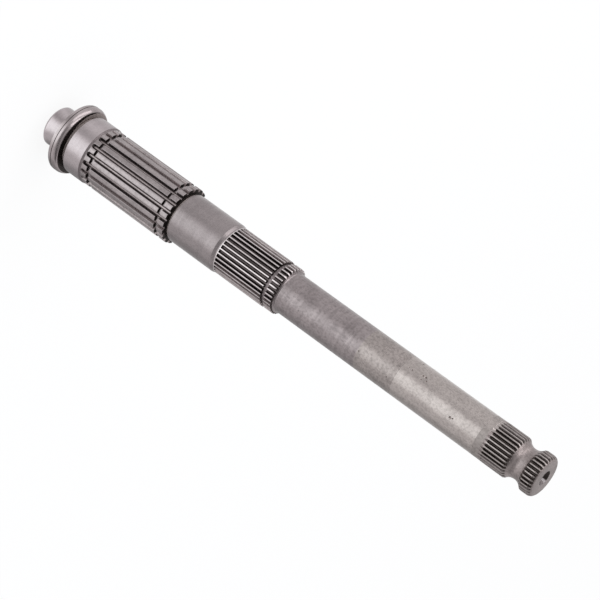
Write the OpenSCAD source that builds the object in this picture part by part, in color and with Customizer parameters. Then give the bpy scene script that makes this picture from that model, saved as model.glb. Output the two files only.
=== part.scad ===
// Transmission main shaft, turned and hobbed from one bar.
// It stands on the end of its short journal, and +Z runs along its axis to the serrated end.

/* [Short journal] */
// Diameter of the short journal that runs in the case
pilot_d = 16.7; // [15:0.1:18]
// Length of the short journal, up to the flange
pilot_len = 9.4; // [8:0.1:16]
// Chamfer on the end of the short journal
pilot_chamfer = 0.8; // [0.2:0.1:1.5]

/* [Flange] */
// Diameter of the thrust flange
flange_d = 29.5; // [27.5:0.1:34]
// Thickness of the flange
flange_len = 4.6; // [3.6:0.1:7]
// Radius that rounds the outer side of the rim
rim_round = 0.8; // [0.3:0.1:1.2]
// Slope on the inner side of the rim, along the axis
rim_slope_len = 1.7; // [0.5:0.1:2]
// Slope on the inner side of the rim, across the axis
rim_slope_rise = 1; // [0.3:0.1:1.5]
// Width and twice the depth of the fine line turned into the rim
rim_line = 0.24; // [0.1:0.02:0.4]

/* [Collar] */
// Diameter of the ground collar that a gear turns on
collar_d = 24.9; // [24.6:0.1:26.5]
// Length of the collar, with its chamfers
collar_len = 9; // [6:0.1:16]
// Chamfer on the flange side of the collar
collar_chamfer = 0.25; // [0.1:0.05:0.4]
// Length of the long chamfer on the other side
collar_slope_len = 1; // [0.4:0.1:1.5]
// Diameter of the recess turned between flange and collar
recess_d = 22.2; // [20:0.1:23]
// Length of that recess
recess_len = 1.5; // [1:0.1:3]
// Diameter of the low step beside the recess
step_d = 23.7; // [23.2:0.1:24]
// Length of the low step
step_len = 0.5; // [0.3:0.1:1]

/* [Large spline] */
// Number of teeth on the large spline
large_teeth = 20; // [16:1:24]
// Outer diameter of the large spline
large_d = 24.2; // [23.8:0.1:24.4]
// Diameter at the floor of its gaps
large_floor_d = 21.7; // [21.2:0.1:22.2]
// Length of the large spline
large_len = 43.7; // [30:0.1:60]
// Width of a gap at the tooth tops
large_gap = 1.85; // [1.2:0.05:2.2]
// Width of a gap at its floor
large_gap_floor = 0.95; // [0.5:0.05:1.15]
// Angle at which the gaps run out towards the collar
large_runout = 65; // [30:1:75]
// Turn of the large spline about the axis
large_turn = -80; // [-90:0.5:-70]
// Diameter at the floor of the two snap ring grooves
clip_d = 22; // [21.5:0.1:22.6]
// Width of each snap ring groove
clip_w = 1.6; // [1.2:0.1:2.2]
// From the collar to the first groove
clip_near = 2.7; // [2:0.1:6]
// From the far end of the spline to the second groove
clip_far = 3.1; // [2:0.1:6]

/* [Middle journal] */
// Diameter of the middle journal
mid_d = 20.95; // [20.5:0.05:21.2]
// Length of the middle journal, with its chamfer
mid_len = 24.4; // [15:0.1:35]
// Length of the chamfer towards the fine spline
mid_slope_len = 1.4; // [0.5:0.1:2]
// Diameter of the undercut beside the large spline
undercut_d = 20.1; // [19:0.1:20.4]
// Length of that undercut
undercut_len = 1.4; // [0.8:0.1:2.5]

/* [Fine spline] */
// Number of teeth on the fine spline
fine_teeth = 33; // [28:1:36]
// Outer diameter of the fine spline
fine_d = 20.1; // [19.7:0.1:20.4]
// Diameter at the floor of its gaps
fine_floor_d = 18.2; // [17.9:0.1:18.6]
// Length of the fine spline up to its snap ring groove
fine_len = 23.9; // [14:0.1:35]
// Plain band left between the middle journal and the gaps
fine_band = 0.7; // [0.3:0.1:1.5]
// Width of a gap at the tooth tops
fine_gap = 1.35; // [0.9:0.05:1.4]
// Width of a gap at its floor
fine_gap_floor = 0.7; // [0.3:0.05:0.85]
// Turn of the fine spline about the axis
fine_turn = -86; // [-92:0.5:-80]
// Diameter at the floor of the snap ring groove
ring_groove_d = 18; // [17.6:0.1:18.4]
// Width of that groove
ring_groove_w = 1.5; // [1:0.1:2]
// Diameter of the toothed ring beyond the groove
ring_d = 19.75; // [19.4:0.05:20.1]
// Length of the toothed ring, with its chamfer
ring_len = 4.1; // [3:0.1:8]
// Chamfer on the ends of the ring's teeth
ring_chamfer = 0.8; // [0.3:0.1:1]

/* [Long body] */
// Diameter of the long plain body
body_d = 16.9; // [16.4:0.05:17.1]
// Length of the body, from the toothed ring to the serration
body_len = 98; // [60:0.5:140]
// Radius of the corner where the body meets the toothed ring
body_corner = 0.5; // [0.2:0.1:0.8]

/* [Serrated end] */
// Number of serration teeth
serration_teeth = 32; // [28:1:34]
// Outer diameter of the serration, which rolling raised a little above the body
serration_d = 17.05; // [16.9:0.05:17.4]
// Diameter at the floor of the serration
serration_floor_d = 15.4; // [15.2:0.1:15.8]
// Length of the serration, from the body to the middle of the neck
serration_len = 14.9; // [10:0.1:22]
// Width of a valley at the tooth tops
serration_gap = 1.15; // [0.8:0.05:1.2]
// Width of a valley at its floor
serration_gap_floor = 0.35; // [0.2:0.05:0.6]
// Angle at which the valleys run out into the body
serration_runout = 26; // [15:1:40]
// Turn of the serration about the axis
serration_turn = -82.3; // [-90:0.1:-75]
// Diameter at the bottom of the round neck for the pinch bolt
neck_d = 13.1; // [12:0.1:14]
// Radius of the round neck
neck_round = 4.7; // [3.5:0.1:5.2]
// Length from the middle of the neck to the end of the shaft
tail_len = 8.8; // [7.5:0.1:14]
// Diameter of the flat end face
face_d = 14.4; // [12:0.1:15]
// Radius that rounds the teeth over to the end face
tail_round = 2; // [1.4:0.1:2.6]

/* [Centre holes] */
// Diameter of the drilled centre holes
centre_d = 3.15; // [2:0.05:4]
// Depth of the drilled part, from the end face
centre_depth = 8; // [5:0.5:12]
// Diameter of the countersink at the face
sink_d = 6; // [4.5:0.1:7]
// Full angle of the countersink
sink_angle = 60; // [50:5:90]
// Full angle of the drill's point
drill_point = 118; // [90:2:140]

/* [Hidden] */
$fn = 96;
// Cutters reach this far past the surfaces that they open
over = 0.6;
// Places along the axis, each from the one before
flange_z = pilot_len;
recess_z = flange_z + flange_len;
step_z = recess_z + recess_len;
collar_z = step_z + step_len;
large_z = collar_z + collar_len;
undercut_z = large_z + large_len;
mid_z = undercut_z + undercut_len;
fine_z = undercut_z + mid_len;
ring_groove_z = fine_z + fine_len;
ring_z = ring_groove_z + ring_groove_w;
body_z = ring_z + ring_len;
serration_z = body_z + body_len;
neck_z = serration_z + serration_len;
top_z = neck_z + tail_len;
rim_line_z = flange_z + (rim_round + flange_len - rim_slope_len) / 2;
// Where the rounding of the serrated end begins, so that it ends at the flat face
tail_round_x = serration_d / 2 - tail_round;
tail_round_z = top_z - sqrt(pow(tail_round, 2) - pow(face_d / 2 - tail_round_x, 2));

// Half of the shaft's section, turned about the axis
module turned_blank() {
    rotate_extrude()
    difference() {
        union() {
            polygon([
                [0, 0],
                [pilot_d / 2 - pilot_chamfer, 0],
                [pilot_d / 2, pilot_chamfer],
                [pilot_d / 2, flange_z],
                [flange_d / 2 - rim_round, flange_z],
                [flange_d / 2 - rim_round, flange_z + rim_round],
                [flange_d / 2, flange_z + rim_round],
                [flange_d / 2, recess_z - rim_slope_len],
                [flange_d / 2 - rim_slope_rise, recess_z],
                [recess_d / 2, recess_z],
                [recess_d / 2, step_z],
                [step_d / 2, step_z],
                [step_d / 2, collar_z],
                [collar_d / 2 - collar_chamfer, collar_z],
                [collar_d / 2, collar_z + collar_chamfer],
                [collar_d / 2, large_z - collar_slope_len],
                [large_d / 2, large_z],
                [large_d / 2, undercut_z],
                [undercut_d / 2, undercut_z],
                [undercut_d / 2, mid_z],
                [mid_d / 2, mid_z],
                [mid_d / 2, fine_z - mid_slope_len],
                [fine_d / 2, fine_z],
                [fine_d / 2, ring_groove_z],
                [ring_groove_d / 2, ring_groove_z],
                [ring_groove_d / 2, ring_z],
                [ring_d / 2, ring_z],
                [ring_d / 2, body_z - ring_chamfer],
                [ring_d / 2 - ring_chamfer, body_z],
                [body_d / 2, body_z],
                [body_d / 2, serration_z],
                [serration_d / 2, serration_z],
                [serration_d / 2, tail_round_z],
                [tail_round_x, tail_round_z],
                [tail_round_x, top_z],
                [0, top_z]
            ]);
            intersection() {
                translate([tail_round_x, tail_round_z])
                    circle(r = tail_round);
                translate([tail_round_x - over, tail_round_z])
                    square([tail_round + 2 * over, top_z - tail_round_z]);
            }
            translate([flange_d / 2 - rim_round, flange_z + rim_round])
                circle(r = rim_round);
            // Filled corner between the toothed ring and the body
            difference() {
                translate([body_d / 2 - over, body_z - over])
                    square([body_corner + over, body_corner + over]);
                translate([body_d / 2 + body_corner, body_z + body_corner])
                    circle(r = body_corner);
            }
        }
        translate([flange_d / 2, rim_line_z])
            circle(d = rim_line, $fn = 24);
        translate([neck_d / 2 + neck_round, neck_z])
            circle(r = neck_round);
    }
}

// Section of one gap, seen along the axis, with its floor at x = 0
module gap_section(depth, gap_w, floor_w) {
    widen = (gap_w - floor_w) / depth;
    polygon([
        [0, -floor_w / 2],
        [depth + over, -(gap_w + widen * over) / 2],
        [depth + over, (gap_w + widen * over) / 2],
        [0, floor_w / 2]
    ]);
}

// All the gaps of one spline, from z_low to z_high
module gaps(count, turn, d, floor_d, gap_w, floor_w, z_low, z_high) {
    for (i = [0 : count - 1])
        rotate([0, 0, turn + 360 * i / count])
            translate([floor_d / 2, 0, z_low])
                linear_extrude(z_high - z_low)
                    gap_section((d - floor_d) / 2, gap_w, floor_w);
}

// The ends of those gaps, where the cutter left the work at a slope
module gap_runouts(count, turn, d, floor_d, gap_w, floor_w, z_low, slope) {
    depth = (d - floor_d) / 2;
    ramp = (depth + over) / sin(slope);
    for (i = [0 : count - 1])
        rotate([0, 0, turn + 360 * i / count])
            translate([floor_d / 2, 0, z_low])
                rotate([0, -slope, 0])
                    translate([0, 0, -ramp])
                        linear_extrude(ramp)
                            gap_section(depth, gap_w, floor_w);
}

// A square groove for a snap ring
module snap_groove(z, width, d, outer_d) {
    translate([0, 0, z])
        difference() {
            cylinder(h = width, d = outer_d + 2 * over);
            translate([0, 0, -over])
                cylinder(h = width + 2 * over, d = d);
        }
}

// A centre hole that opens downwards at z = 0
module centre_hole() {
    sink_depth = (sink_d - centre_d) / 2 / tan(sink_angle / 2);
    mouth_d = sink_d + 2 * over * tan(sink_angle / 2);
    translate([0, 0, -over])
        cylinder(h = centre_depth + over, d = centre_d);
    translate([0, 0, -over])
        cylinder(h = sink_depth + over, d1 = mouth_d, d2 = centre_d);
    translate([0, 0, centre_depth])
        cylinder(h = centre_d / 2 / tan(drill_point / 2), d1 = centre_d, d2 = 0);
}

module main_shaft() {
    large_full_z = large_z + (large_d - large_floor_d) / 2 / tan(large_runout);
    serration_full_z = serration_z
        + (serration_d - serration_floor_d) / 2 / tan(serration_runout);
    color("#9a9392")
    difference() {
        turned_blank();
        gaps(large_teeth, large_turn, large_d, large_floor_d,
             large_gap, large_gap_floor, large_full_z, mid_z - over / 2);
        gap_runouts(large_teeth, large_turn, large_d, large_floor_d,
                    large_gap, large_gap_floor, large_full_z, large_runout);
        snap_groove(large_z + clip_near, clip_w, clip_d, large_d);
        snap_groove(undercut_z - clip_far - clip_w, clip_w, clip_d, large_d);
        gaps(fine_teeth, fine_turn, fine_d, fine_floor_d,
             fine_gap, fine_gap_floor, fine_z + fine_band, body_z + over);
        gaps(serration_teeth, serration_turn, serration_d, serration_floor_d,
             serration_gap, serration_gap_floor, serration_full_z, top_z + over);
        gap_runouts(serration_teeth, serration_turn, serration_d, serration_floor_d,
                    serration_gap, serration_gap_floor, serration_full_z,
                    serration_runout);
        centre_hole();
        translate([0, 0, top_z])
            mirror([0, 0, 1])
                centre_hole();
    }
}

main_shaft();
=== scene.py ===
import math
import bmesh
import bpy
from mathutils import Matrix, Vector


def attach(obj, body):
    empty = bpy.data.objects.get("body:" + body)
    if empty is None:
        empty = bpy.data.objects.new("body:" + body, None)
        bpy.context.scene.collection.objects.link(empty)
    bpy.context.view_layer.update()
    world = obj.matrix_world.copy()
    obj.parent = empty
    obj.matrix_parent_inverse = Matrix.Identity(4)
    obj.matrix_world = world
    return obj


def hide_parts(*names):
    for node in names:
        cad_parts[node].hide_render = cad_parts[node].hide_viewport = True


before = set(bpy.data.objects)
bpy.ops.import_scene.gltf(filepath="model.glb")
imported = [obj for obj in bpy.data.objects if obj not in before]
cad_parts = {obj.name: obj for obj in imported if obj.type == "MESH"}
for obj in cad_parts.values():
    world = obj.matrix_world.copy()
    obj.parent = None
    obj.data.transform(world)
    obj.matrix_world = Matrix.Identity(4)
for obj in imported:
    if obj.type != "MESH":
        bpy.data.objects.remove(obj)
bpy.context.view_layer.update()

# The camera looks from the side and a little from above at the standing shaft, through a long lens.
# It is rolled over, so that in the picture the shaft slopes down to the right, serrated end nearest.
aim = Vector((-0.00022, 0, 0.12814))
camera_distance = 0.8909
camera_rise = math.radians(23.5)
picture_slope = math.radians(35.955)
camera_data = bpy.data.cameras.new("camera")
camera_data.sensor_width = 36
camera_data.lens = 144
camera_data.clip_start = 0.05
camera_data.clip_end = 50
camera = bpy.data.objects.new("camera", camera_data)
bpy.context.scene.collection.objects.link(camera)
bpy.context.scene.camera = camera
towards_camera = Vector((0, -math.cos(camera_rise), math.sin(camera_rise)))
level_right = Vector((1, 0, 0))
level_up = towards_camera.cross(level_right)
camera_right = level_up * math.cos(picture_slope) - level_right * math.sin(picture_slope)
camera_up = towards_camera.cross(camera_right)
turn_camera = Matrix((camera_right, camera_up, towards_camera)).transposed()
camera.matrix_world = Matrix.Translation(
    aim + towards_camera * camera_distance) @ turn_camera.to_4x4()


# The floor is a wide matt sheet of pale board. Seen by the camera or mirrored in the steel it is
# nearly white, and the shaft's soft shadow stays on it.
def seen_or_mirrored(nodes, links):
    """1 for rays from the camera, from a mirror or through glass, and 0 for the rest."""
    light_path = nodes.new("ShaderNodeLightPath")
    mirrored = nodes.new("ShaderNodeMath")
    mirrored.operation = "ADD"
    seen = nodes.new("ShaderNodeMath")
    seen.operation = "ADD"
    seen.use_clamp = True
    links.new(light_path.outputs["Is Glossy Ray"], mirrored.inputs[0])
    links.new(light_path.outputs["Is Transmission Ray"], mirrored.inputs[1])
    links.new(light_path.outputs["Is Camera Ray"], seen.inputs[0])
    links.new(mirrored.outputs[0], seen.inputs[1])
    return seen.outputs[0]


floor_half = 8
floor_mesh = bpy.data.meshes.new("floor")
floor_mesh.from_pydata([(-floor_half, -floor_half, 0), (floor_half, -floor_half, 0),
                        (floor_half, floor_half, 0), (-floor_half, floor_half, 0)],
                       [], [(0, 1, 2, 3)])
floor = bpy.data.objects.new("floor", floor_mesh)
bpy.context.scene.collection.objects.link(floor)
board = bpy.data.materials.new("pale_board")
board.use_nodes = True
nodes, links = board.node_tree.nodes, board.node_tree.links
nodes.clear()
matt = nodes.new("ShaderNodeBsdfDiffuse")
matt.inputs["Color"].default_value = (0.9, 0.9, 0.9, 1)
white = nodes.new("ShaderNodeEmission")
white.inputs["Strength"].default_value = 1
shadow_kept = nodes.new("ShaderNodeMath")
shadow_kept.operation = "MULTIPLY"
shadow_kept.inputs[1].default_value = 0.88
mix = nodes.new("ShaderNodeMixShader")
out = nodes.new("ShaderNodeOutputMaterial")
links.new(seen_or_mirrored(nodes, links), shadow_kept.inputs[0])
links.new(shadow_kept.outputs[0], mix.inputs["Fac"])
links.new(matt.outputs[0], mix.inputs[1])
links.new(white.outputs[0], mix.inputs[2])
links.new(mix.outputs[0], out.inputs["Surface"])
floor_mesh.materials.append(board)

# The room round the shaft is a plain white studio. It is white to the camera and in the steel, and
# lights the floor softly and a little cool.
world = bpy.data.worlds.new("studio")
bpy.context.scene.world = world
world.use_nodes = True
nodes, links = world.node_tree.nodes, world.node_tree.links
nodes.clear()
room = nodes.new("ShaderNodeBackground")
room.inputs["Color"].default_value = (0.94, 0.96, 1, 1)
room.inputs["Strength"].default_value = 1.0
white = nodes.new("ShaderNodeBackground")
white.inputs["Strength"].default_value = 1
mix = nodes.new("ShaderNodeMixShader")
out = nodes.new("ShaderNodeOutputWorld")
links.new(seen_or_mirrored(nodes, links), mix.inputs["Fac"])
links.new(room.outputs[0], mix.inputs[1])
links.new(white.outputs[0], mix.inputs[2])
links.new(mix.outputs[0], out.inputs["Surface"])


# Three softboxes light the set from the left, low, near and high. They are real lamps for the
# floor and the steel, and are kept out of the picture.
def softbox(name, azimuth, height, distance, size, glow, aim):
    """A rectangular lamp, azimuth degrees to the right of the camera's side, aimed at a height."""
    lamp = bpy.data.lights.new(name, "AREA")
    lamp.shape = "RECTANGLE"
    lamp.size, lamp.size_y = size
    lamp.energy = glow * math.pi * size[0] * size[1]
    box = bpy.data.objects.new(name, lamp)
    bpy.context.scene.collection.objects.link(box)
    turn = math.radians(azimuth)
    box.location = (distance * math.sin(turn), -distance * math.cos(turn), height)
    box.rotation_mode = "QUATERNION"
    box.rotation_quaternion = (Vector((0, 0, aim)) - box.location).to_track_quat("-Z", "Y")
    box.visible_camera = False


softbox("left_softbox", -70, 0.2, 0.95, (1.3, 0.3), 1.4, 0.12)
softbox("near_softbox", -43, 0.6, 0.85, (0.6, 0.28), 2.1, 0.05)
softbox("high_softbox", -82, 1.2, 0.8, (0.7, 0.6), 2.0, 0.2)


# A lit table round the shaft's foot and a grey card by the camera are there for the steel to
# mirror. Each is a sheet that glows by its own amount at each corner.
def reflector(name, rows):
    """A sheet that only the steel sees, from rows of corners (place, brightness). Where it is
    brighter than white it turns a little cool."""
    mesh = bpy.data.meshes.new(name)
    wide = len(rows[0])
    mesh.from_pydata([place for row in rows for place, _ in row], [],
                     [(i * wide + j, i * wide + j + 1, (i + 1) * wide + j + 1, (i + 1) * wide + j)
                      for i in range(len(rows) - 1) for j in range(wide - 1)])
    paint = mesh.color_attributes.new("glow", "FLOAT_COLOR", "POINT")
    for corner, (_, glow) in enumerate(corner for row in rows for corner in row):
        cool = 1 + 0.06 * min(max(glow - 1, 0), 1)
        paint.data[corner].color = (glow, glow * cool, glow * cool, 1)
    sheet = bpy.data.materials.new(name)
    sheet.use_nodes = True
    nodes, links = sheet.node_tree.nodes, sheet.node_tree.links
    nodes.clear()
    glow = nodes.new("ShaderNodeAttribute")
    glow.attribute_name = "glow"
    lit = nodes.new("ShaderNodeEmission")
    out = nodes.new("ShaderNodeOutputMaterial")
    links.new(glow.outputs["Color"], lit.inputs["Color"])
    links.new(lit.outputs[0], out.inputs["Surface"])
    mesh.materials.append(sheet)
    panel = bpy.data.objects.new(name, mesh)
    bpy.context.scene.collection.objects.link(panel)
    panel.visible_camera = False
    panel.visible_diffuse = False
    panel.visible_shadow = False


def patch(angle, middle, width, power):
    """A patch with soft edges: 1 at its middle, 0 well outside it. Angles are in degrees."""
    off = (angle - middle + 180) % 360 - 180
    return math.exp(-abs(off / width) ** power)


def table_glow(azimuth, far):
    """The table's brightness in one direction, at the shaft's foot (far 0) or away from it (far 1)."""
    window = (1.0 - 0.15 * far) * patch(azimuth, 18, 33, 4)
    left_card = 0.2 * (1 - far) * patch(azimuth, -76, 20, 2)
    left_gap = (0.2 - 0.1 * far) * patch(azimuth, -34, 16, 2)
    dark_side = 0.5 * patch(azimuth, 140, 42, 4)
    back = (0.2 - 0.35 * far) * patch(azimuth, 180, 40, 2)
    return 0.9 + window + left_card - left_gap - dark_side - back


# Lengths of the table and the card are in metres, and a reach is measured from the shaft's axis
reaches = (0.0087, 0.02, 0.05, 0.1, 0.16, 0.3, 0.6, 1.6)
table_height = 0.0006
foot_reach, change_length = 0.05, 0.11
haze_reach, most_haze = 0.1, 0.25
foot_pull, pull_reach = 0.4, 0.025
table = []
for azimuth in range(-180, 181, 6):
    table.append([])
    for reach in reaches:
        far = min(max((reach - foot_reach) / change_length, 0), 1)
        haze = most_haze * min(reach / haze_reach, 1)
        glow = haze + (1 - haze) * table_glow(azimuth, far)
        # A mirrored ray starts on the steel's skin and not at its axis, so near the foot the patches
        # are drawn round towards the camera
        pull = 1 - foot_pull / (1 + reach / pull_reach)
        turn = math.radians(azimuth * (pull + (1 - pull) * abs(azimuth / 180) ** 6))
        table[-1].append(((reach * math.sin(turn), -reach * math.cos(turn), table_height), glow))
reflector("lit_table", table)
card_away, card_middle, card_columns = 1.3, 0.12, 12
card_start, card_sweep = -30, 160
card_grey, pale_gap = 0.85, 0.85
card = []
for i in range(card_columns + 1):
    turn = math.radians(card_start + card_sweep * i / card_columns)
    card.append([])
    for rise_degrees in range(3, 89, 5):
        shade = card_grey * min(1, 1.8 * math.sin(math.pi * i / card_columns))
        shade *= 1 - pale_gap * patch(rise_degrees, 33, 11, 2)
        rise = math.radians(rise_degrees)
        place = (card_away * math.cos(rise) * math.sin(turn), -card_away * math.cos(rise) * math.cos(turn),
                 card_middle + card_away * math.sin(rise))
        card[-1].append((place, 1 - shade))
reflector("grey_card", card)

# The short journal runs in the case. Like the whole shaft it is one hardened steel bar, turned and
# ground between centres, so a countersunk centre hole is drilled in its end face.
mm = 0.001
round_steps = 192
rings = []


def rounded(points):
    """Points (z, r, size) as an outline, each corner with a size eased over that length."""
    eased = []
    for i, (z, r, size) in enumerate(points):
        here = Vector((z, r))
        if not size or i in (0, len(points) - 1):
            eased.append((z, r))
            continue
        before = here + (Vector(points[i - 1][:2]) - here).normalized() * size
        after = here + (Vector(points[i + 1][:2]) - here).normalized() * size
        for part in (0, 0.25, 0.5, 0.75, 1):
            eased.append(before * (1 - part) ** 2 + here * 2 * part * (1 - part) + after * part ** 2)
    return eased


def turned(finish, points):
    """Plain rings through an outline of (z, r, corner size)."""
    for z, r in rounded(points):
        angles = [2 * math.pi * i / round_steps for i in range(round_steps)]
        rings.append((angles, [(z, r)] * round_steps, [finish] * round_steps))


def worked_steel(name, colour, shade, roughness, grain, marks, blotch, metal=1):
    """Steel with turning marks round it, fine grain and soft cloudy stains between two colours. The
    noise scales are per mm, and grain, marks and blotch say how strong each one is."""
    steel = bpy.data.materials.new(name)
    steel.use_nodes = True
    nodes, links = steel.node_tree.nodes, steel.node_tree.links
    nodes.clear()
    out = nodes.new("ShaderNodeOutputMaterial")
    skin = nodes.new("ShaderNodeBsdfPrincipled")
    skin.inputs["Metallic"].default_value = metal
    links.new(skin.outputs[0], out.inputs["Surface"])
    place = nodes.new("ShaderNodeTexCoord")

    def noise(across, along, detail):
        stretch = nodes.new("ShaderNodeMapping")
        stretch.inputs["Scale"].default_value = (across / mm, across / mm, along / mm)
        links.new(place.outputs["Object"], stretch.inputs["Vector"])
        cloud = nodes.new("ShaderNodeTexNoise")
        cloud.inputs["Scale"].default_value = 1
        cloud.inputs["Detail"].default_value = detail
        links.new(stretch.outputs["Vector"], cloud.inputs["Vector"])
        return cloud.outputs["Fac"]

    stains = noise(0.16, 0.11, 5)
    lines = noise(0.05, 0.95, 4)
    specks = noise(1.25, 1.0, 4)
    stained = nodes.new("ShaderNodeMixRGB")
    stained.inputs["Color1"].default_value = (*shade, 1)
    stained.inputs["Color2"].default_value = (*colour, 1)
    spread = nodes.new("ShaderNodeMapRange")
    spread.inputs["From Min"].default_value = 0.5 - 0.35 / blotch
    spread.inputs["From Max"].default_value = 0.5 + 0.15 / blotch
    links.new(stains, spread.inputs["Value"])
    links.new(spread.outputs["Result"], stained.inputs["Fac"])

    def darkened(colour, noisy, highest, strength):
        """The colour, darker where a noise is high."""
        picked = nodes.new("ShaderNodeMapRange")
        picked.inputs["From Min"].default_value = 0.42
        picked.inputs["From Max"].default_value = highest
        picked.inputs["To Max"].default_value = strength
        links.new(noisy, picked.inputs["Value"])
        dark = nodes.new("ShaderNodeMixRGB")
        dark.blend_type = "MULTIPLY"
        dark.inputs["Color2"].default_value = (0.6, 0.6, 0.6, 1)
        links.new(picked.outputs["Result"], dark.inputs["Fac"])
        links.new(colour, dark.inputs["Color1"])
        return dark.outputs[0]

    grained = darkened(stained.outputs[0], specks, 0.72, grain)
    links.new(darkened(grained, lines, 0.68, marks), skin.inputs["Base Color"])
    rough = nodes.new("ShaderNodeMapRange")
    rough.inputs["From Min"].default_value = 0.3
    rough.inputs["From Max"].default_value = 0.7
    rough.inputs["To Min"].default_value = roughness - 0.05
    rough.inputs["To Max"].default_value = roughness + 0.05
    links.new(lines, rough.inputs["Value"])
    links.new(rough.outputs["Result"], skin.inputs["Roughness"])

    def raised(noisy, strength):
        """A bump as high as a noise, 0.02 mm at most."""
        bump = nodes.new("ShaderNodeBump")
        bump.inputs["Strength"].default_value = strength
        bump.inputs["Distance"].default_value = 0.02 * mm
        links.new(noisy, bump.inputs["Height"])
        return bump

    ridges = raised(lines, marks)
    pits = raised(specks, grain)
    links.new(ridges.outputs["Normal"], pits.inputs["Normal"])
    links.new(pits.outputs["Normal"], skin.inputs["Normal"])
    return steel


finishes = {}
# The centre holes are painted nearly black inside, as shade.
finishes["hole"] = worked_steel(
    "drilled_hole_painted_shade", (0.06, 0.05, 0.047), (0.03, 0.024, 0.023), 0.35, 0.3, 0.3, 1)
finishes["ground"] = worked_steel(
    "ground_steel", (0.43, 0.38, 0.392), (0.38, 0.334, 0.346), 0.24, 0.25, 0.15, 1)
centre_r, centre_depth, sink_r = 1.575, 8, 3
sink_half_angle, drill_half_angle = 30, 59
sink_depth = (sink_r - centre_r) / math.tan(math.radians(sink_half_angle))
point_depth = centre_r / math.tan(math.radians(drill_half_angle))
pilot_r, pilot_chamfer, flange_z = 8.35, 0.8, 9.4
turned("hole", [(centre_depth + point_depth, 0, 0), (centre_depth, centre_r, 0.1),
                (sink_depth, centre_r, 0.1), (0, sink_r, 0.1)])
turned("ground", [(0, sink_r + 0.1, 0), (0, pilot_r - pilot_chamfer, 0.2), (pilot_chamfer, pilot_r, 0.3),
                  (flange_z - 0.3, pilot_r, 0), (flange_z, pilot_r + 0.3, 0)])

# The flange takes the end thrust. It is turned from the same bar, with a rounded rim that slopes
# away towards the collar and a fine line scribed round it.
# Black painted shade goes in the scribed line, in groove and recess corners, and on faces turned from the
# light.
finishes["painted shade"] = worked_steel(
    "black_painted_shade", (0.045, 0.036, 0.034), (0.025, 0.02, 0.019), 0.5, 0.5, 0.3, 1)
finishes["rim"] = worked_steel("rim_steel", (0.4, 0.35, 0.356), (0.31, 0.27, 0.274), 0.22, 0.3, 0.3, 1)
flange_r, recess_z, rim_slope, rim_fall = 14.75, 14.0, 1.7, 1.0
line_z, line_half = 11.25, 0.15
# Corners on the slope: back from the recess, in from the rim, and how far each is eased
slope_corners = ((0.9, 0.3, 0.2), (0.15, 0.73, 0.1))
turned("rim", [(flange_z, pilot_r + 0.35, 0), (flange_z, flange_r, 1.1),
               (line_z - line_half, flange_r, 0)])
# The scribed line is painted black, as shade in it.
turned("painted shade", [(line_z, flange_r - line_half, 0), (line_z + line_half, flange_r, 0)])
turned("rim", [(line_z + line_half + 0.02, flange_r, 0), (recess_z - rim_slope, flange_r, 0.3),
               *[(recess_z - back, flange_r - drop, eased) for back, drop, eased in slope_corners],
               (recess_z, flange_r - rim_fall, 0)])

# A gear turns on the ground collar. The recess before it is brown steel, painted black as shade in its
# corners and over most of the flange's back, with a low step that the grinding wheel ran out over.
finishes["recess"] = worked_steel(
    "recess_skin", (0.3, 0.25, 0.235), (0.21, 0.172, 0.16), 0.5, 0.5, 0.4, 1, 0.3)
recess_r, step_z, step_r, collar_z, collar_r = 11.1, 15.5, 11.85, 16.0, 12.45
large_z, large_r, collar_slope = 25.0, 12.1, 1.0
# The flange's back is painted black as shade all round, except a part on its lit side that widens inwards,
# in degrees from +X, which keeps the recess's brown steel
back_rings, lit_back_from, lit_back_to, lit_back_widens = 9, 150, 190, 9
back_depth = flange_r - rim_fall - 0.35 - recess_r
foot_shade, step_shade = 0.12, 0.35
for step in range(back_rings):
    turned("painted shade", [(recess_z, recess_r + back_depth * (1 - step / (back_rings - 1)), 0)])
    for column in range(round_steps):
        if lit_back_from < 360 * column / round_steps < lit_back_to + lit_back_widens * step:
            rings[-1][2][column] = "recess"
turned("painted shade", [(recess_z + foot_shade, recess_r, 0)])
turned("recess", [(step_z - step_shade, recess_r, 0)])
turned("painted shade", [(step_z, recess_r, 0)])
turned("recess", [(step_z, step_r, 0.12), (step_z + 0.1, step_r, 0)])
turned("rim", [(collar_z - 0.1, step_r, 0), (collar_z, step_r, 0.1), (collar_z, collar_r - 0.3, 0)])
# The slopes get a darker, rougher steel, as painted shade.
finishes["slope"] = worked_steel(
    "slope_painted_shade", (0.24, 0.205, 0.21), (0.17, 0.145, 0.15), 0.45, 0.5, 0.3, 1)
turned("ground", [(collar_z, collar_r, 0.28), (large_z - collar_slope, collar_r, 0)])
turned("slope", [(large_z - 0.8 * collar_slope, collar_r - 0.2 * (collar_r - large_r), 0),
                 (large_z, large_r, 0)])

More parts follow.
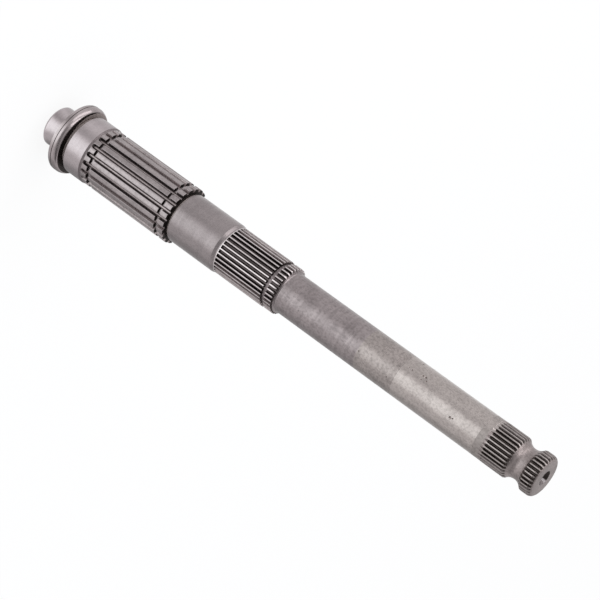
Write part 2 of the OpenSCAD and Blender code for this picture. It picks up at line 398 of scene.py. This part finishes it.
# The large spline carries the gears that slide or sit against snap rings. Its gaps are hobbed:
# they run out in a slope at the collar, and two snap ring grooves cross the teeth.
# The gaps' flanks are painted dark and their roots by the floor darker, as shade, with lighter copies on
# the lit side as painted light; the crowns are painted a little lighter as highlight and the edges a
# little darker as shade.
finishes["large land"] = worked_steel(
    "spline_land", (0.37, 0.328, 0.333), (0.28, 0.246, 0.252), 0.27, 0.6, 0.1, 1)
finishes["large crown"] = worked_steel(
    "spline_crown", (0.4, 0.356, 0.36), (0.29, 0.257, 0.261), 0.24, 0.6, 0.1, 1)
finishes["large edge"] = worked_steel(
    "spline_edge", (0.34, 0.3, 0.305), (0.24, 0.21, 0.214), 0.25, 0.3, 0.1, 1)
finishes["large flank"] = worked_steel(
    "spline_flank_painted_shade", (0.14, 0.116, 0.116), (0.085, 0.07, 0.069), 0.4, 0.6, 0.1, 1)
finishes["large worn flank"] = worked_steel(
    "worn_flank", (0.38, 0.33, 0.33), (0.26, 0.224, 0.224), 0.38, 0.6, 0.1, 1)
finishes["large worn root"] = worked_steel(
    "worn_root", (0.26, 0.222, 0.222), (0.18, 0.153, 0.153), 0.4, 0.6, 0.1, 1)
finishes["large root"] = worked_steel(
    "spline_root_painted_shade", (0.08, 0.064, 0.064), (0.045, 0.036, 0.036), 0.4, 0.6, 0.1, 1)
finishes["large floor"] = worked_steel(
    "spline_floor", (0.36, 0.314, 0.314), (0.24, 0.206, 0.206), 0.3, 0.6, 0.1, 1)


class Spline:
    """One run of like teeth, sizes in mm. The turn places a gap, and painted shade darkens the gaps over
    the part of the round given by dark, in degrees from -Y; outside it the gaps on the lit side get
    lighter copies of their finishes, as painted light."""

    parts = ("floor", "root", "root", "root", "flank", "edge", "edge", "land", "crown")

    def __init__(self, teeth, turn, tip_r, floor_r, gap, gap_floor, name, soft, dark):
        self.teeth, self.turn, self.tip_r, self.floor_r = teeth, math.radians(turn), tip_r, floor_r
        self.half_gap, self.half_floor, self.name, self.soft = gap / 2, gap_floor / 2, name, soft
        self.dark = dark

    def half_tooth(self, tip_r, lift):
        """Points (angle, radius) from a gap's middle to the middle of a tooth."""
        depth = self.tip_r - self.floor_r
        keep = max(1 - lift, 0.0)
        x0 = tip_r - depth * keep
        lean = (self.half_gap - self.half_floor) / depth
        soft = self.soft * keep
        half_top = self.half_floor + lean * depth * keep
        pairs = [(x0, 0), (x0, 0.7 * (self.half_floor - soft)), (x0, self.half_floor - soft),
                 (x0 + 0.3 * soft, self.half_floor + 0.15 * soft),
                 (x0 + soft, self.half_floor + lean * soft),
                 (tip_r - soft, half_top - lean * soft)]
        points = [(math.atan2(y, x), min(math.hypot(x, y), tip_r)) for x, y in pairs]
        flat = half_top / tip_r
        points.append((flat + 0.25 * soft / tip_r, tip_r - 0.3 * soft))
        points.append((flat + soft / tip_r, tip_r))
        points.append((0.5 * (flat + soft / tip_r + math.pi / self.teeth), tip_r))
        points.append((math.pi / self.teeth, tip_r))
        return points

    def ring(self, z, lift=0.0, cap=None, tip_r=None, fill=False, finish=None):
        """One ring across the teeth, cut down to the radius cap, or with its gaps filled."""
        tip_r = tip_r or self.tip_r
        half = self.half_tooth(tip_r, lift)
        angles, places, marks = [], [], []
        for i in range(self.teeth):
            middle = self.turn + 2 * math.pi * i / self.teeth
            aside = (math.degrees(middle) + 270) % 360 - 180
            lit_side = "" if self.dark[0] < aside < self.dark[1] else "worn "
            for side in (-1, 1):
                for step in range(len(half) - 1):
                    k = len(half) - 1 - step if side < 0 else step
                    angle, r = half[k]
                    angles.append(middle + side * angle)
                    r = tip_r if fill else r
                    places.append((z, min(r, cap) if cap else r))
                    part = self.parts[k - 1 if side < 0 else k]
                    if part in ("flank", "root"):
                        part = lit_side + part
                    own = self.name + " " + part
                    marks.append(finish if finish and (not cap or r > cap) else own)
        rings.append((angles, places, marks))


def crossed(spline, low, high, floor_r, edge):
    """A snap ring groove across the teeth, with its edges eased and black painted shade in its corner."""
    tip_r = spline.tip_r
    for z, cap, finish in ((low - edge, tip_r, None),
                           (low - 0.3 * edge, tip_r - 0.3 * edge, None),
                           (low, tip_r - edge, None),
                           (low, floor_r, "painted shade"),
                           (low + 0.2 * (high - low), floor_r, "painted shade"),
                           (high, floor_r, None),
                           (high, tip_r - edge, None),
                           (high + 0.3 * edge, tip_r - 0.3 * edge, None),
                           (high + edge, tip_r, None)):
        spline.ring(z, cap=cap, finish=finish)


large = Spline(20, -80, large_r, 10.85, 1.85, 0.95, "large", 0.16, (-36, 36))
undercut_z, clip_r, clip_w = 68.7, 11, 1.6
near_clip_z, far_clip_z, clip_edge = large_z + 2.7, undercut_z - 3.1 - clip_w, 0.12
large_runout, large_runout_steps = 65, 6
large_full_z = large_z + (large_r - large.floor_r) / math.tan(math.radians(large_runout))
for step in range(large_runout_steps + 1):
    part = step / large_runout_steps
    large.ring(large_z + 0.02 + (large_full_z - large_z) * part, lift=1 - part)
crossed(large, near_clip_z, near_clip_z + clip_w, clip_r, clip_edge)
large.ring((near_clip_z + far_clip_z) / 2)
crossed(large, far_clip_z, far_clip_z + clip_w, clip_r, clip_edge)
undercut_r, mid_z = 10.05, 70.1
# The teeth's end face into the undercut is painted black, as shade.
for z, cap in ((undercut_z - 0.3, large_r), (undercut_z - 0.08, large_r - 0.1),
               (undercut_z, large_r - 0.3), (undercut_z, undercut_r + 0.3)):
    large.ring(z, cap=cap, finish="painted shade" if cap < large_r - 0.2 else None)

# The middle journal is ground for a free-turning gear. A turned undercut parts it from the large
# spline, and a chamfer leads down to the fine one.
mid_r, fine_z, mid_slope = 10.475, 93.1, 1.4
fine_r = 10.05
finishes["journal"] = worked_steel(
    "journal_steel", (0.31, 0.272, 0.277), (0.26, 0.228, 0.233), 0.27, 0.35, 0.2, 1)
# The undercut's corner is painted black, as shade.
turned("painted shade", [(undercut_z, undercut_r + 0.25, 0), (undercut_z, undercut_r, 0.15),
                 (undercut_z + 0.7, undercut_r, 0)])
turned("recess", [(mid_z, undercut_r, 0), (mid_z, mid_r - 0.25, 0)])
turned("journal", [(mid_z, mid_r, 0.2), (fine_z - mid_slope, mid_r, 0.15), (fine_z, fine_r, 0.1),
                  (fine_z + 0.4, fine_r, 0)])

# The fine spline takes a fixed gear. It ends in a snap ring groove and a short ring of the same
# teeth, chamfered towards the body.
# The crests are painted much lighter than the other splines' as highlight, and their edges darker as
# shade; the gaps are painted near black as shade, lighter on the lit side as painted light.
finishes["fine land"] = worked_steel(
    "fine_land", (0.72, 0.66, 0.665), (0.58, 0.525, 0.53), 0.24, 0.4, 0.1, 1)
finishes["fine crown"] = finishes["fine land"]
finishes["fine edge"] = worked_steel(
    "fine_edge", (0.34, 0.3, 0.305), (0.25, 0.22, 0.22), 0.26, 0.3, 0.1, 1)
finishes["fine flank"] = worked_steel(
    "fine_flank_painted_shade", (0.065, 0.05, 0.05), (0.035, 0.027, 0.027), 0.35, 0.6, 0.1, 1)
finishes["fine worn flank"] = worked_steel(
    "fine_lit_side_flank_painted_light", (0.3, 0.255, 0.255), (0.21, 0.178, 0.178), 0.36, 0.6, 0.1, 1)
finishes["fine worn root"] = worked_steel(
    "fine_lit_side_root_painted_light", (0.18, 0.152, 0.152), (0.12, 0.102, 0.102), 0.36, 0.6, 0.1, 1)
finishes["fine root"] = worked_steel(
    "fine_root_painted_shade", (0.05, 0.038, 0.038), (0.025, 0.019, 0.019), 0.35, 0.6, 0.1, 1)
finishes["fine floor"] = worked_steel(
    "fine_floor_painted_shade", (0.1, 0.085, 0.085), (0.055, 0.047, 0.047), 0.35, 0.6, 0.1, 1)
fine = Spline(33, -86, fine_r, 9.1, 1.35, 0.7, "fine", 0.1, (-46, 42))
ring_r = 9.875
groove_z, groove_r, groove_w, body_z = 117.0, 9.0, 1.5, 122.6
fine_band = 0.7
fine_start = fine_z + fine_band
fine.ring(fine_start, fill=True)
fine.ring(fine_start + 0.02, lift=0.15)
fine.ring(fine_start + 0.25)
toothed_z = groove_z + groove_w
# Black painted shade goes in the groove's corner and on the ring's chamfer, and the groove's floor takes
# the darker slope steel as shade.
for z, cap, finish in ((groove_z - 0.12, fine_r, None),
                       (groove_z - 0.03, fine_r - 0.04, None),
                       (groove_z, fine_r - 0.12, None),
                       (groove_z, groove_r, "painted shade"),
                       (groove_z + 0.15, groove_r, "painted shade"),
                       (toothed_z, groove_r, "slope"),
                       (toothed_z, ring_r - 0.12, None),
                       (toothed_z + 0.03, ring_r - 0.04, None),
                       (toothed_z + 0.12, ring_r, None),
                       (body_z - 0.6, ring_r, None),
                       (body_z - 0.48, ring_r - 0.07, "fine land"),
                       (body_z - 0.1, ring_r - 0.72, "painted shade")):
    fine.ring(z, cap=cap, finish=finish)
# The chamfer is painted black as shade, but on its lit side, in degrees from +X, it keeps lighter steel
chamfer_from, chamfer_to = 150, 252
for column, angle in enumerate(rings[-1][0]):
    on_lit_side = chamfer_from < math.degrees(angle) % 360 < chamfer_to
    if on_lit_side and rings[-1][2][column] == "painted shade":
        rings[-1][2][column] = "fine edge"


# The long body is the plain part of the bar between the toothed ends. It keeps the lathe's fine
# rings up to a border, is lighter in two bands beyond it and has a dull shoulder at its end. A few
# small knocks mark it.
def dented(steel, dents):
    """Adds knocks to a steel, each (x, y, z, size) in mm: a dark, ragged, slightly sunken spot."""
    nodes, links = steel.node_tree.nodes, steel.node_tree.links
    skin = next(node for node in nodes if node.type == "BSDF_PRINCIPLED")
    place = next(node for node in nodes if node.type == "TEX_COORD")
    wobble = nodes.new("ShaderNodeTexNoise")
    wobble.inputs["Scale"].default_value = 0.9 / mm
    wobble.inputs["Detail"].default_value = 3
    links.new(place.outputs["Object"], wobble.inputs["Vector"])
    for x, y, z, size in dents:
        away = nodes.new("ShaderNodeVectorMath")
        away.operation = "DISTANCE"
        away.inputs[1].default_value = (x * mm, y * mm, z * mm)
        links.new(place.outputs["Object"], away.inputs[0])
        ragged = nodes.new("ShaderNodeMath")
        ragged.operation = "MULTIPLY_ADD"
        ragged.inputs[1].default_value = 2.2 * size * mm
        links.new(wobble.outputs["Fac"], ragged.inputs[0])
        links.new(away.outputs["Value"], ragged.inputs[2])
        spot = nodes.new("ShaderNodeMapRange")
        spot.interpolation_type = "SMOOTHSTEP"
        spot.inputs["From Min"].default_value = 1.3 * size * mm
        spot.inputs["From Max"].default_value = 2.0 * size * mm
        spot.inputs["To Min"].default_value = 1
        spot.inputs["To Max"].default_value = 0
        links.new(ragged.outputs[0], spot.inputs["Value"])
        dark = nodes.new("ShaderNodeMixRGB")
        dark.blend_type = "MULTIPLY"
        dark.inputs["Color2"].default_value = (0.34, 0.3, 0.29, 1)
        links.new(spot.outputs["Result"], dark.inputs["Fac"])
        links.new(skin.inputs["Base Color"].links[0].from_socket, dark.inputs["Color1"])
        links.new(dark.outputs[0], skin.inputs["Base Color"])
        sunk = nodes.new("ShaderNodeBump")
        sunk.invert = True
        sunk.inputs["Strength"].default_value = 0.6
        sunk.inputs["Distance"].default_value = 0.15 * mm
        links.new(spot.outputs["Result"], sunk.inputs["Height"])
        links.new(skin.inputs["Normal"].links[0].from_socket, sunk.inputs["Normal"])
        links.new(sunk.outputs["Normal"], skin.inputs["Normal"])
    return steel


finishes["turned body"] = dented(
    worked_steel("turned_body", (0.34, 0.296, 0.301), (0.265, 0.229, 0.233), 0.31, 0.8, 0.35, 1.2),
    [(-1.5, -8.3, 128.4, 0.3), (3.3, -7.8, 133.5, 0.2)])
finishes["outer body"] = dented(
    worked_steel("outer_body", (0.385, 0.34, 0.329), (0.3, 0.263, 0.255), 0.3, 0.9, 0.2, 1.1),
    [(2.3, -8.1, 162.3, 0.4), (1.2, -8.4, 175.8, 0.2), (4.0, -7.5, 176.6, 0.25)])
finishes["rubbed body"] = dented(
    worked_steel("rubbed_body", (0.46, 0.412, 0.398), (0.37, 0.328, 0.316), 0.21, 0.7, 0.1, 0.9),
    [(-7.5, -3.9, 184.0, 0.6), (-3.8, -7.6, 181.6, 0.43), (-3.5, -7.7, 183.2, 0.36),
     (-4.1, -7.4, 187.7, 0.51), (-4.2, -7.4, 189.0, 0.51), (-3.2, -7.8, 190.1, 0.43),
     (-2.6, -8.0, 188.1, 0.43), (-3.8, -7.6, 192.6, 0.36), (-3.6, -7.6, 196.1, 0.29),
     (2.3, -8.1, 205.4, 0.75), (2.1, -8.2, 206.6, 0.4)])
finishes["shoulder"] = worked_steel(
    "shoulder_steel", (0.38, 0.34, 0.328), (0.3, 0.266, 0.257), 0.45, 0.7, 0.1, 1)
body_r, change_z, rubbed_z = 8.45, 162, 179.4
rubbed_end_z, shoulder_z, serration_z = 217.6, 217.9, 220.6
turned("turned body", [(body_z + 0.02, ring_r - 0.85, 0), (body_z + 0.05, body_r + 0.25, 0.15),
                       (body_z + 0.5, body_r, 0.2), (change_z - 0.3, body_r, 0)])
turned("outer body", [(change_z, body_r, 0), (rubbed_z, body_r, 0)])
turned("rubbed body", [(rubbed_z + 0.2, body_r, 0), (rubbed_end_z, body_r, 0)])
turned("shoulder", [(shoulder_z, body_r, 0), (serration_z, body_r, 0)])

# A lever is clamped on the serration, and its pinch bolt crosses the round neck. The teeth were
# rolled a little proud of the body, and their valleys run out in long points.
# The valleys are painted near black as shade, a little lighter on the lit side as painted light, and the
# crests' edges darker as shade.
finishes["serration land"] = worked_steel(
    "serration_crest", (0.45, 0.405, 0.395), (0.35, 0.312, 0.303), 0.3, 0.4, 0.1, 1)
finishes["serration crown"] = finishes["serration land"]
finishes["serration edge"] = worked_steel(
    "serration_edge", (0.26, 0.23, 0.222), (0.18, 0.158, 0.152), 0.32, 0.4, 0.1, 1)
finishes["serration flank"] = worked_steel(
    "valley_painted_shade", (0.07, 0.056, 0.052), (0.035, 0.028, 0.027), 0.42, 0.6, 0.1, 1)
finishes["serration root"] = finishes["serration flank"]
finishes["serration worn flank"] = worked_steel(
    "lit_side_valley_painted_light", (0.18, 0.153, 0.153), (0.12, 0.102, 0.102), 0.4, 0.6, 0.1, 1)
finishes["serration worn root"] = finishes["serration flank"]
finishes["serration floor"] = finishes["serration flank"]
finishes["end"] = worked_steel("end_steel", (0.36, 0.31, 0.306), (0.27, 0.232, 0.228), 0.4, 0.7, 0.2, 1.2)
serration = Spline(32, -82.3, 8.525, 7.7, 1.15, 0.35, "serration", 0.12, (-30, 42))
serration_runout, serration_runout_steps, bare_share = 26, 8, 0.7
serration_depth = serration.tip_r - serration.floor_r
serration_full_z = serration_z + serration_depth / math.tan(math.radians(serration_runout))
neck_z, neck_r, neck_round, top_z = 235.5, 6.55, 4.7, 244.3
face_r, tail_round = 7.2, 2.0
# The run-outs are bare steel, and over part of the round, from +X, they take the crests' lighter steel as
# a painted highlight
bright_from, bright_to = 205, 252
for step in range(serration_runout_steps + 1):
    part = step / serration_runout_steps
    serration.ring(serration_z + 0.02 + (serration_full_z - serration_z) * part, lift=1 - part,
                   tip_r=body_r + (serration.tip_r - body_r) * part,
                   finish="end" if part < bare_share else None)
    for column, angle in enumerate(rings[-1][0]):
        if part < bare_share and bright_from < math.degrees(angle) % 360 < bright_to:
            rings[-1][2][column] = "serration land"
reach = math.sqrt(neck_round ** 2 - (neck_round + neck_r - serration.tip_r) ** 2)
serration.ring(neck_z - reach - 0.6)
serration.ring(neck_z - reach - 0.2, cap=serration.tip_r - 0.04)
neck_steps, tail_steps = 16, 10
for step in range(2 * neck_steps + 1):
    away = reach * (step / neck_steps - 1)
    arc_r = neck_r + neck_round - math.sqrt(neck_round ** 2 - away ** 2)
    arc_r = min(arc_r, serration.tip_r - 0.1)
    serration.ring(neck_z + away, cap=arc_r, finish="end" if arc_r < serration.floor_r else None)
serration.ring(neck_z + reach + 0.2, cap=serration.tip_r - 0.04)
serration.ring(neck_z + reach + 0.6)
round_middle = serration.tip_r - tail_round
face_angle = math.acos((face_r - round_middle) / tail_round)
for step in range(tail_steps + 1):
    swing = face_angle * step / tail_steps
    cap = round_middle + tail_round * math.cos(swing)
    serration.ring(top_z - tail_round * (math.sin(face_angle) - math.sin(swing)), cap=cap,
                   finish="end" if cap < serration.floor_r else None)
turned("end", [(top_z, face_r - 0.25, 0), (top_z, sink_r + 0.1, 0)])
turned("hole", [(top_z, sink_r, 0.1), (top_z - sink_depth, centre_r, 0.1),
                (top_z - centre_depth, centre_r, 0.1), (top_z - centre_depth - point_depth, 0, 0)])
finishes["cone"] = worked_steel(
    "drilled_cone", (0.27, 0.235, 0.235), (0.17, 0.145, 0.145), 0.4, 0.5, 0.2, 1, 0.6)
finishes["bright cone"] = worked_steel(
    "painted_highlight_cone", (0.5, 0.46, 0.46), (0.32, 0.29, 0.29), 0.3, 0.5, 0.2, 1, 0.3)
# One side of the countersink keeps lighter steel as painted light, with a painted highlight streak, in
# degrees from +X; the rest is painted black as shade
countersink = rings[-11]
lit_from, highlight_from, highlight_to, lit_to = 5, 60, 80, 84
for column in range(round_steps):
    angle = 360 * column / round_steps
    if lit_from < angle < lit_to:
        countersink[2][column] = "bright cone" if highlight_from < angle < highlight_to else "cone"

# All the rings are skinned into the one solid shaft. Where the count of points changes from ring
# to ring, the strip between them is filled with triangles in order of angle.
points, faces, face_finish = [], [], []
names = list(finishes)


def skin(first, second):
    """Faces between two rings, each given as its first point's number and its angles."""
    a0, a = first
    b0, b = second
    n, m = len(a), len(b)
    if n == m:
        for i in range(n):
            j = (i + 1) % n
            yield (a0 + i, a0 + j, b0 + j, b0 + i), i
        return
    whole = 2 * math.pi
    start = min(range(m), key=lambda k: abs((b[k] - a[0] + math.pi) % whole - math.pi))
    a_turn = [a[0] + (x - a[0]) % whole for x in a] + [a[0] + whole]
    shift = (b[start] - a[0] + math.pi) % whole - math.pi
    b_turn = [a[0] + shift + (b[(start + k) % m] - b[start]) % whole for k in range(m)]
    b_turn.append(b_turn[0] + whole)
    i = j = 0
    while i < n or j < m:
        if j >= m or (i < n and a_turn[i + 1] <= b_turn[j + 1]):
            yield (a0 + i % n, a0 + (i + 1) % n, b0 + (start + j) % m), None
            i += 1
        else:
            yield (a0 + i % n, b0 + (start + j + 1) % m, b0 + (start + j) % m), None
            j += 1


first_points = []
for angles, places, _ in rings:
    first_points.append(len(points))
    points += [(r * mm * math.cos(angle), r * mm * math.sin(angle), z * mm)
               for angle, (z, r) in zip(angles, places)]
for k in range(len(rings) - 1):
    marks = rings[k + 1][2]
    for face, column in skin((first_points[k], rings[k][0]), (first_points[k + 1], rings[k + 1][0])):
        faces.append(face)
        face_finish.append(names.index(marks[0 if column is None else column]))
shaft_mesh = bpy.data.meshes.new("steel_shaft")
shaft_mesh.from_pydata(points, [], faces)
for name in names:
    shaft_mesh.materials.append(finishes[name])
shaft_mesh.polygons.foreach_set("material_index", face_finish)
shaft = bpy.data.objects.new("steel_shaft", shaft_mesh)
bpy.context.scene.collection.objects.link(shaft)
work = bmesh.new()
work.from_mesh(shaft_mesh)
same_place, sharp_angle = 0.0005 * mm, 38
bmesh.ops.remove_doubles(work, verts=work.verts, dist=same_place)
bmesh.ops.dissolve_degenerate(work, edges=work.edges, dist=same_place)
bmesh.ops.recalc_face_normals(work, faces=work.faces)
work.to_mesh(shaft_mesh)
work.free()
shaft_mesh.shade_smooth()
shaft_mesh.set_sharp_from_angle(angle=math.radians(sharp_angle))
even = shaft.modifiers.new("even_shading", "WEIGHTED_NORMAL")
even.keep_sharp = True
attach(shaft, "root")
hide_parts("main_shaft")

# The picture keeps plain colours.
view = bpy.context.scene.view_settings
view.view_transform = "Standard"
